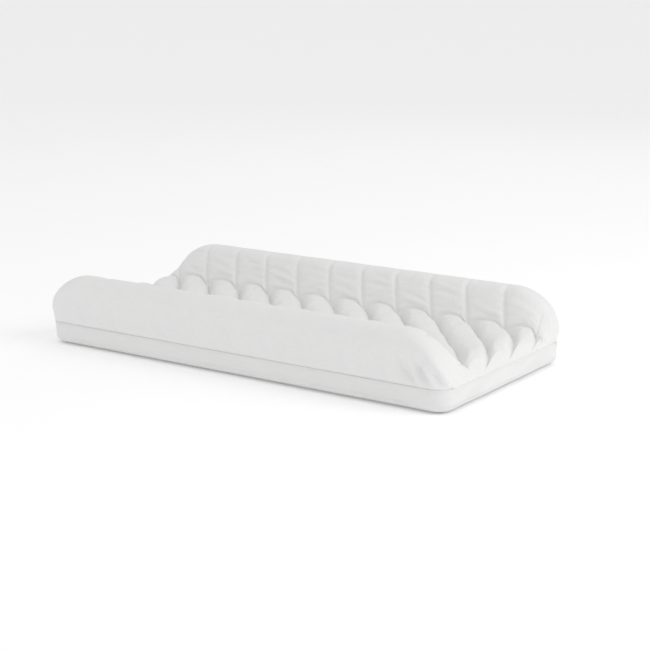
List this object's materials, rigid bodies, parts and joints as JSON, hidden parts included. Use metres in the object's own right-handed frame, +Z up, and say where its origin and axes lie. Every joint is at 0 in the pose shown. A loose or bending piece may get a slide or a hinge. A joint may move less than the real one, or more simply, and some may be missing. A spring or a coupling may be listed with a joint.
{
  "type": "changing pad",
  "caption": "Contoured baby changing pad with raised padded sides, quilted floor and inner faces, zipped cover, non-slip strips and screw-down anchor straps.",
  "frame": {"origin": "on the surface the pad lies on, under the middle of the pad", "axes": "+X along the pad's length, +Y across it towards the zipped long side, +Z up"},
  "size_m": [0.825, 0.4118, 0.1269],
  "materials": {
    "foam": "open-cell polyurethane foam, matt",
    "liner": "thin waterproof film, satin",
    "batting": "loose polyester wadding",
    "quilted_cotton": "white cotton, quilted, matt",
    "cotton": "white cotton, plain weave, matt",
    "base_fabric": "white backing cloth, matt",
    "zip_tape": "white woven tape",
    "zip_teeth": "white nylon coil",
    "zip_metal": "white enamelled zinc",
    "label": "white satin ribbon, unprinted",
    "grip": "light grey rubber, matt",
    "snap_plastic": "white moulded acetal",
    "webbing": "white woven webbing",
    "eyelet_metal": "nickel-plated steel"
  },
  "bodies": {
    "pad": {"foam_base": "foam", "foam_bolster_front": "foam", "foam_bolster_back": "foam", "liner_top": "liner", "liner_bottom": "liner", "batting_floor": "batting", "batting_front": "batting", "batting_back": "batting", "cover_top": "quilted_cotton", "band_front": "cotton", "band_back_upper": "cotton", "band_back_lower": "cotton", "band_left": "cotton", "band_right": "cotton", "cover_bottom": "base_fabric", "zip_tape_upper": "zip_tape", "zip_tape_lower": "zip_tape", "zip_teeth_upper": "zip_teeth", "zip_teeth_lower": "zip_teeth", "zip_stop_left": "zip_metal", "zip_stop_right": "zip_metal", "zip_tab_left": "cotton", "zip_tab_right": "cotton", "care_label": "label", "grip_front": "grip", "grip_centre": "grip", "grip_back": "grip", "anchor_seat_left": "snap_plastic", "anchor_seat_right": "snap_plastic"},
    "zip_slider": {"zip_slider": "zip_metal"},
    "zip_pull": {"zip_pull": "zip_metal"},
    "anchor_left": {"anchor_strap_left": "webbing", "anchor_socket_left": "snap_plastic", "anchor_eyelet_left": "eyelet_metal"},
    "anchor_right": {"anchor_strap_right": "webbing", "anchor_socket_right": "snap_plastic", "anchor_eyelet_right": "eyelet_metal"}
  },
  "joints": [
    {"name": "zip_slide", "type": "slide", "parent": "pad", "child": "zip_slider", "axis": [-1, 0, 0], "range_m": [0, 0.608]},
    {"name": "zip_pull_hinge", "type": "hinge", "parent": "zip_slider", "child": "zip_pull", "pos_m": [0.305, 0.20288, 0.02366], "axis": [0, -0.0872, -0.9962], "range_deg": [0, 180]},
    {"name": "anchor_left_swivel", "type": "hinge", "parent": "pad", "child": "anchor_left", "pos_m": [-0.33, 0, 0.003], "axis": [0, 0, 1], "range_deg": [-180, 180]},
    {"name": "anchor_right_swivel", "type": "hinge", "parent": "pad", "child": "anchor_right", "pos_m": [0.33, 0, 0.003], "axis": [0, 0, 1], "range_deg": [-180, 180]}
  ]
}
